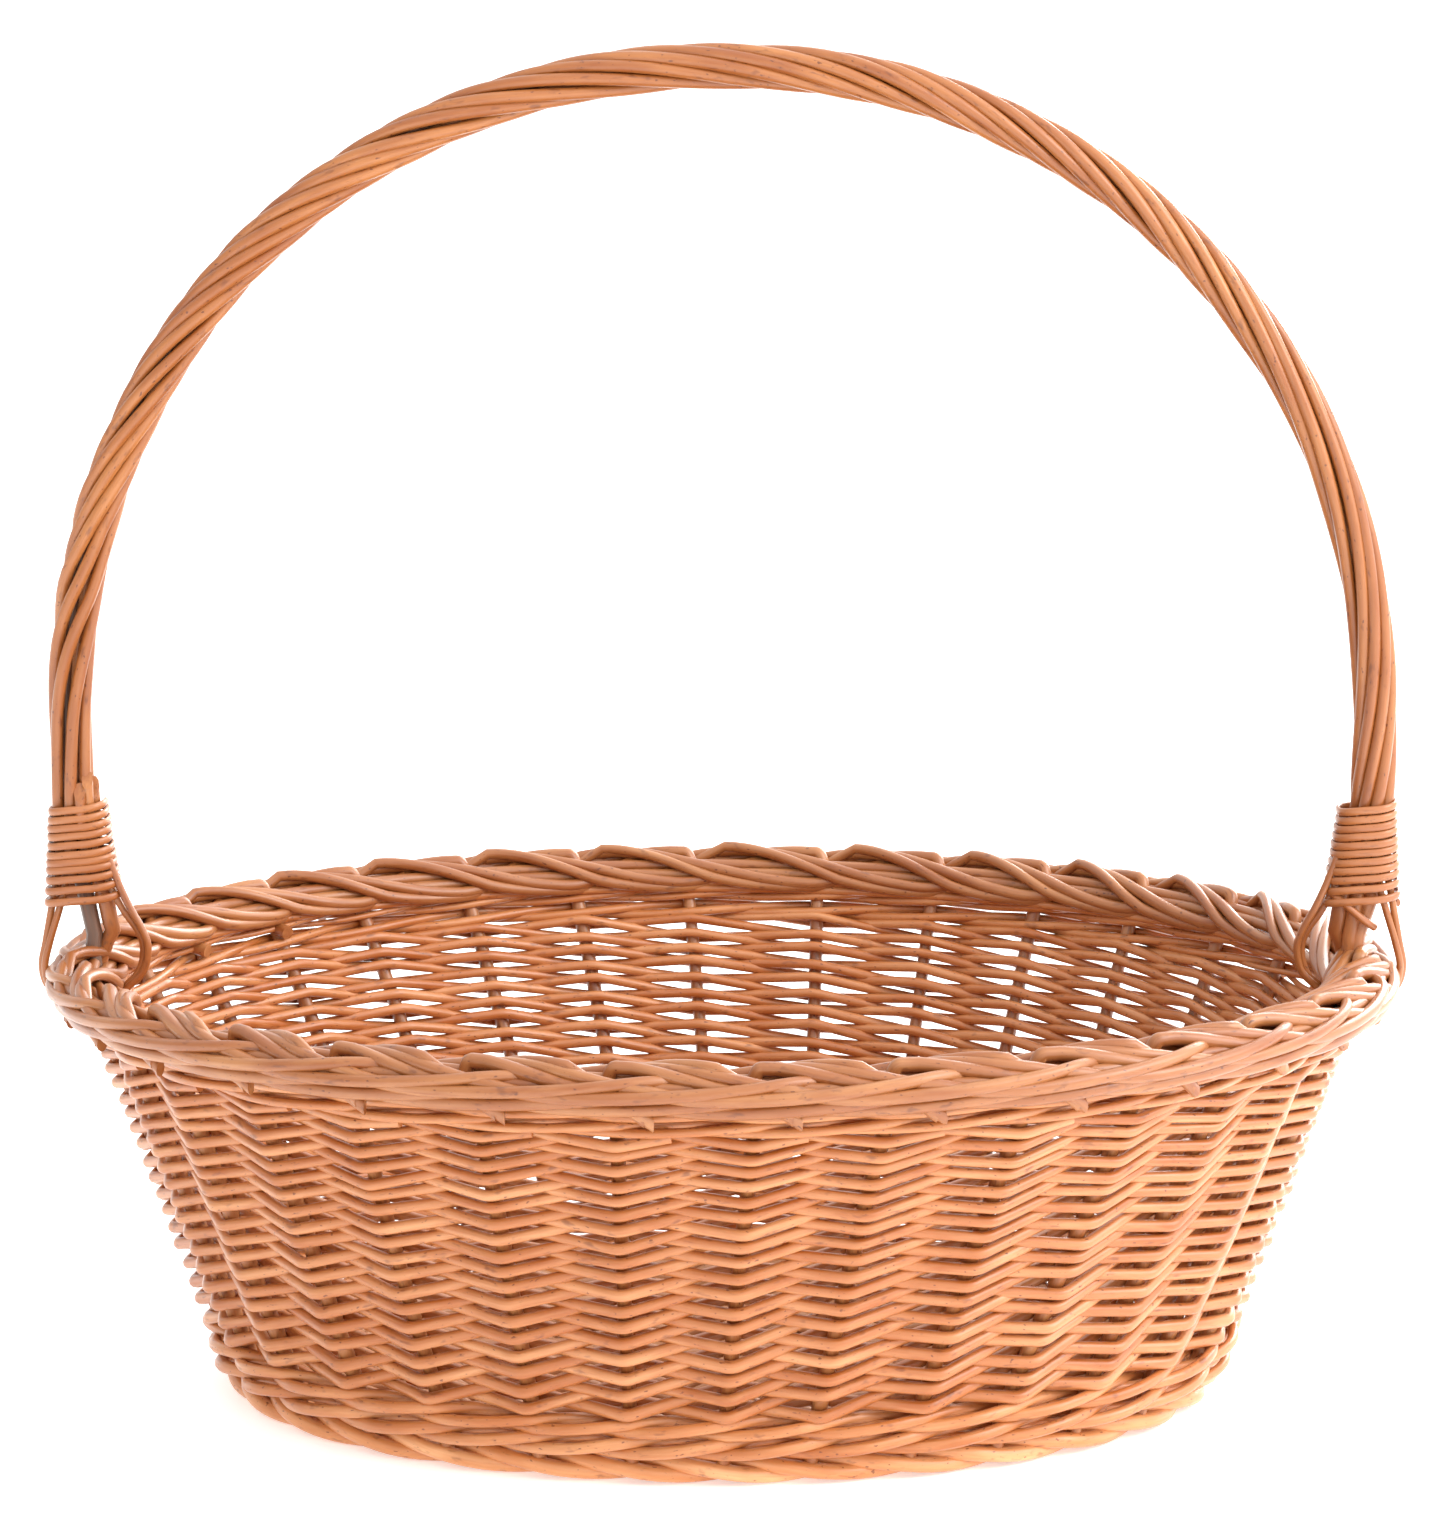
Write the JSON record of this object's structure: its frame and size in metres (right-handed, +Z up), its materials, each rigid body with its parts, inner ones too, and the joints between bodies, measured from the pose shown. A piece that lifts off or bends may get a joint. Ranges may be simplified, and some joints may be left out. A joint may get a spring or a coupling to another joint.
{
  "type": "woven willow market basket",
  "caption": "Oval shopping basket of peeled willow: flared randed wall, plaited border, pierced stick base and a fixed roped bow handle lashed at both feet.",
  "frame": {"origin": "on the ground under the middle of the foot border", "axes": "+X lies in the plane of the bow handle, along the longer side of the oval; -Y is the front; +Z is up"},
  "size_m": [0.4562, 0.3566, 0.4464],
  "materials": {
    "stake_willow": "peeled willow, satin with a fine lengthwise grain",
    "weave_willow": "peeled willow, satin with a fine lengthwise grain",
    "wale_willow": "peeled willow, satin with a fine lengthwise grain",
    "border_willow": "thicker peeled willow, satin, with pale slanted cut ends",
    "handle_core_willow": "thick willow rods, dull, greyer than the weave",
    "roping_willow": "thin peeled willow wound into a rope, satin",
    "lashing_cane": "flat split cane with a smooth, slightly glossy skin",
    "base_willow": "peeled willow, dull, with a little dust"
  },
  "bodies": {
    "root": {"base_cross_stick_1": "base_willow", "base_cross_stick_2": "base_willow", "base_cross_stick_3": "base_willow", "base_long_stick_1": "base_willow", "base_long_stick_2": "base_willow", "base_weave_1": "base_willow", "base_weave_2": "base_willow", "base_weave_3": "base_willow", "border_inner_roll": "border_willow", "border_outer_roll": "border_willow", "border_tie_left": "roping_willow", "border_tie_right": "roping_willow", "foot_border": "border_willow", "handle_core_1": "handle_core_willow", "handle_core_2": "handle_core_willow", "handle_lashing_left": "lashing_cane", "handle_lashing_right": "lashing_cane", "handle_roping_1": "roping_willow", "handle_roping_2": "roping_willow", "handle_roping_3": "roping_willow", "side_stake_01": "stake_willow", "side_stake_02": "stake_willow", "side_stake_03": "stake_willow", "side_stake_04": "stake_willow", "side_stake_05": "stake_willow", "side_stake_06": "stake_willow", "side_stake_07": "stake_willow", "side_stake_08": "stake_willow", "side_stake_09": "stake_willow", "side_stake_10": "stake_willow", "side_stake_11": "stake_willow", "side_stake_12": "stake_willow", "side_stake_13": "stake_willow", "side_stake_14": "stake_willow", "side_stake_15": "stake_willow", "side_stake_16": "stake_willow", "side_stake_17": "stake_willow", "side_stake_18": "stake_willow", "side_stake_19": "stake_willow", "side_stake_20": "stake_willow", "side_stake_21": "stake_willow", "side_stake_22": "stake_willow", "side_stake_23": "stake_willow", "side_stake_24": "stake_willow", "side_stake_25": "stake_willow", "side_stake_26": "stake_willow", "side_stake_27": "stake_willow", "side_stake_28": "stake_willow", "side_stake_29": "stake_willow", "side_stake_30": "stake_willow", "top_wale_1": "wale_willow", "top_wale_2": "wale_willow", "upsett_wale_1": "wale_willow", "upsett_wale_2": "wale_willow", "upsett_wale_3": "wale_willow", "wall_weave_1": "weave_willow", "wall_weave_2": "weave_willow", "wall_weave_3": "weave_willow", "wall_weave_4": "weave_willow", "wall_weave_5": "weave_willow"}
  },
  "joints": []
}
